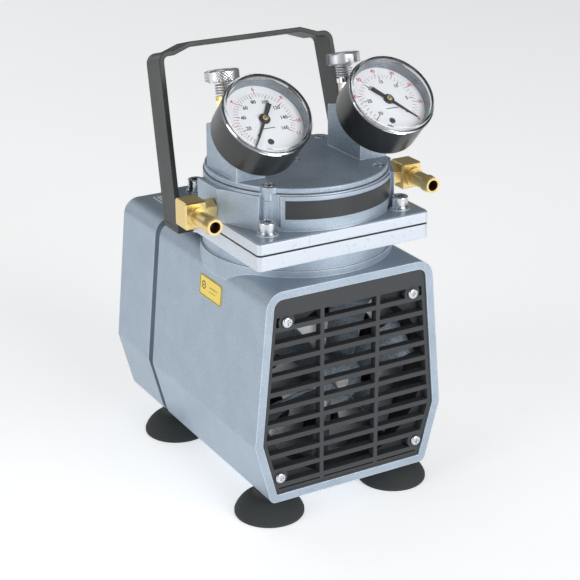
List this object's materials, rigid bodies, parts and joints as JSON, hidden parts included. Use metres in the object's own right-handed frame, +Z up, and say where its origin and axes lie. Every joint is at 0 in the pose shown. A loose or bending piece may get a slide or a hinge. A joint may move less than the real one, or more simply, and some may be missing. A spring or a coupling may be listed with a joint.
{
  "type": "diaphragm vacuum pump",
  "caption": "Bench-top diaphragm vacuum pump: cast housing with fan grille, square clamped head, tilted dial gauges, knurled relief knobs, brass hose barbs, strap handle, suction feet.",
  "frame": {"origin": "on the floor plane under the feet, at the middle of the outline", "axes": "+Z up, +Y from the fan grille towards the rear cover and parallel to the motor shaft, +X towards the vacuum side (inlet barb)"},
  "size_m": [0.1626, 0.2136, 0.2699],
  "materials": {
    "paint": "blue-grey metallic paint on cast aluminium, fine grain",
    "bare_aluminium": "as cast and machined",
    "black_plastic": "satin moulded plastic",
    "black_rubber": "matt moulded rubber",
    "black_case": "satin black enamelled case",
    "handle_strap": "black coated steel strap",
    "zinc_fastener": "bright zinc plate",
    "bright_steel": "ground steel",
    "core_steel": "laminated core steel",
    "winding_copper": "enamelled copper wire",
    "brass": "machined brass",
    "chrome": "knurled and plated",
    "clear_crystal": "clear moulded crystal",
    "dial_white": "white printed dial",
    "pointer_black": "black enamelled pointer",
    "strip_black": "black satin film",
    "label_yellow": "printed yellow film",
    "plate_white": "printed white film"
  },
  "bodies": {
    "root": {"front_housing": "paint", "rear_cover": "paint", "cylinder_head": "paint", "manifold_cap": "paint", "crankcase_wall": "bare_aluminium", "rear_bracket": "bare_aluminium", "fan_grille": "black_plastic", "fan_shroud": "black_plastic", "power_switch": "black_plastic", "cable_gland": "black_plastic", "seam_gasket": "black_rubber", "feet": "black_rubber", "diaphragm": "black_rubber", "pressure_gauge_case": "black_case", "vacuum_gauge_case": "black_case", "handle": "handle_strap", "grille_screws": "zinc_fastener", "cover_screws": "zinc_fastener", "tie_screws": "zinc_fastener", "head_bolts": "zinc_fastener", "cap_screws": "zinc_fastener", "foot_screws": "zinc_fastener", "valve_pins": "zinc_fastener", "front_bearing": "bright_steel", "rear_bearing": "bright_steel", "pressure_valve_spring": "bright_steel", "vacuum_valve_spring": "bright_steel", "stator_core": "core_steel", "stator_windings": "winding_copper", "outlet_elbow": "brass", "inlet_elbow": "brass", "pressure_gauge_movement": "brass", "vacuum_gauge_movement": "brass", "pressure_valve_body": "brass", "vacuum_valve_body": "chrome", "pressure_gauge_crystal": "clear_crystal", "vacuum_gauge_crystal": "clear_crystal", "pressure_gauge_dial": "dial_white", "vacuum_gauge_dial": "dial_white", "name_strip": "strip_black", "side_label": "label_yellow", "nameplate": "plate_white"},
    "crank": {"motor_shaft": "bright_steel", "rotor": "core_steel", "cooling_fan": "bare_aluminium", "eccentric": "core_steel"},
    "rod": {"connecting_rod": "bare_aluminium", "rod_bearing": "bright_steel", "support_plate": "bare_aluminium", "clamp_disc": "bare_aluminium", "clamp_screw": "zinc_fastener"},
    "pressure_pointer": {"pressure_gauge_pointer": "pointer_black"},
    "vacuum_pointer": {"vacuum_gauge_pointer": "pointer_black"},
    "pressure_washer": {"pressure_valve_washer": "bright_steel"},
    "pressure_knob": {"pressure_valve_knob": "chrome"},
    "vacuum_washer": {"vacuum_valve_washer": "bright_steel"},
    "vacuum_knob": {"vacuum_valve_knob": "chrome"},
    "switch_lever": {"switch_lever": "bright_steel"},
    "outlet_disc": {"outlet_valve_disc": "black_rubber"},
    "inlet_disc": {"inlet_valve_disc": "black_rubber"}
  },
  "joints": [
    {"name": "crank_turn", "type": "hinge", "parent": "root", "child": "crank", "pos_m": [0, -0.0413, 0.081], "axis": [0, 1, 0], "continuous": true},
    {"name": "rod_swing", "type": "hinge", "parent": "crank", "child": "rod", "pos_m": [0, -0.0413, 0.0845], "axis": [0, 1, 0], "continuous": true, "deforming": ["diaphragm"]},
    {"name": "pressure_pointer_sweep", "type": "hinge", "parent": "root", "child": "pressure_pointer", "pos_m": [-0.0414, -0.077, 0.2449], "axis": [0, 0.6691, -0.7431], "range_deg": [0, 270], "stiffness_Nm_per_rad": 0.0002},
    {"name": "vacuum_pointer_sweep", "type": "hinge", "parent": "root", "child": "vacuum_pointer", "pos_m": [0.0414, -0.077, 0.2449], "axis": [0, -0.6691, 0.7431], "range_deg": [0, 270], "stiffness_Nm_per_rad": 0.0002},
    {"name": "pressure_knob_travel", "type": "slide", "parent": "root", "child": "pressure_washer", "axis": [0, 0.225, 0.9744], "range_m": [-0.002, 0.002], "deforming": ["pressure_valve_spring"]},
    {"name": "pressure_knob_turn", "type": "hinge", "parent": "pressure_washer", "child": "pressure_knob", "pos_m": [-0.0414, -0.02783, 0.25571], "axis": [0, 0.225, 0.9744], "range_deg": [-720.5, 720.5]},
    {"name": "vacuum_knob_travel", "type": "slide", "parent": "root", "child": "vacuum_washer", "axis": [0, 0.225, 0.9744], "range_m": [-0.002, 0.002], "deforming": ["vacuum_valve_spring"]},
    {"name": "vacuum_knob_turn", "type": "hinge", "parent": "vacuum_washer", "child": "vacuum_knob", "pos_m": [0.0414, -0.02783, 0.25571], "axis": [0, 0.225, 0.9744], "range_deg": [-720.5, 720.5]},
    {"name": "switch_throw", "type": "hinge", "parent": "root", "child": "switch_lever", "pos_m": [-0.028, 0.0955, 0.0475], "axis": [1, 0, 0], "range_deg": [0, 24]},
    {"name": "outlet_disc_lift", "type": "slide", "parent": "root", "child": "outlet_disc", "axis": [0, 0, 1], "range_m": [0, 0.0009]},
    {"name": "inlet_disc_drop", "type": "slide", "parent": "root", "child": "inlet_disc", "axis": [0, 0, -1], "range_m": [0, 0.0009]}
  ],
  "couplings": [
    {"joint": "rod_swing", "follows": "crank_turn", "ratio": -1},
    {"joint": "pressure_knob_turn", "follows": "pressure_knob_travel", "rad_per_m": 6283.2},
    {"joint": "vacuum_knob_turn", "follows": "vacuum_knob_travel", "rad_per_m": 6283.2}
  ]
}
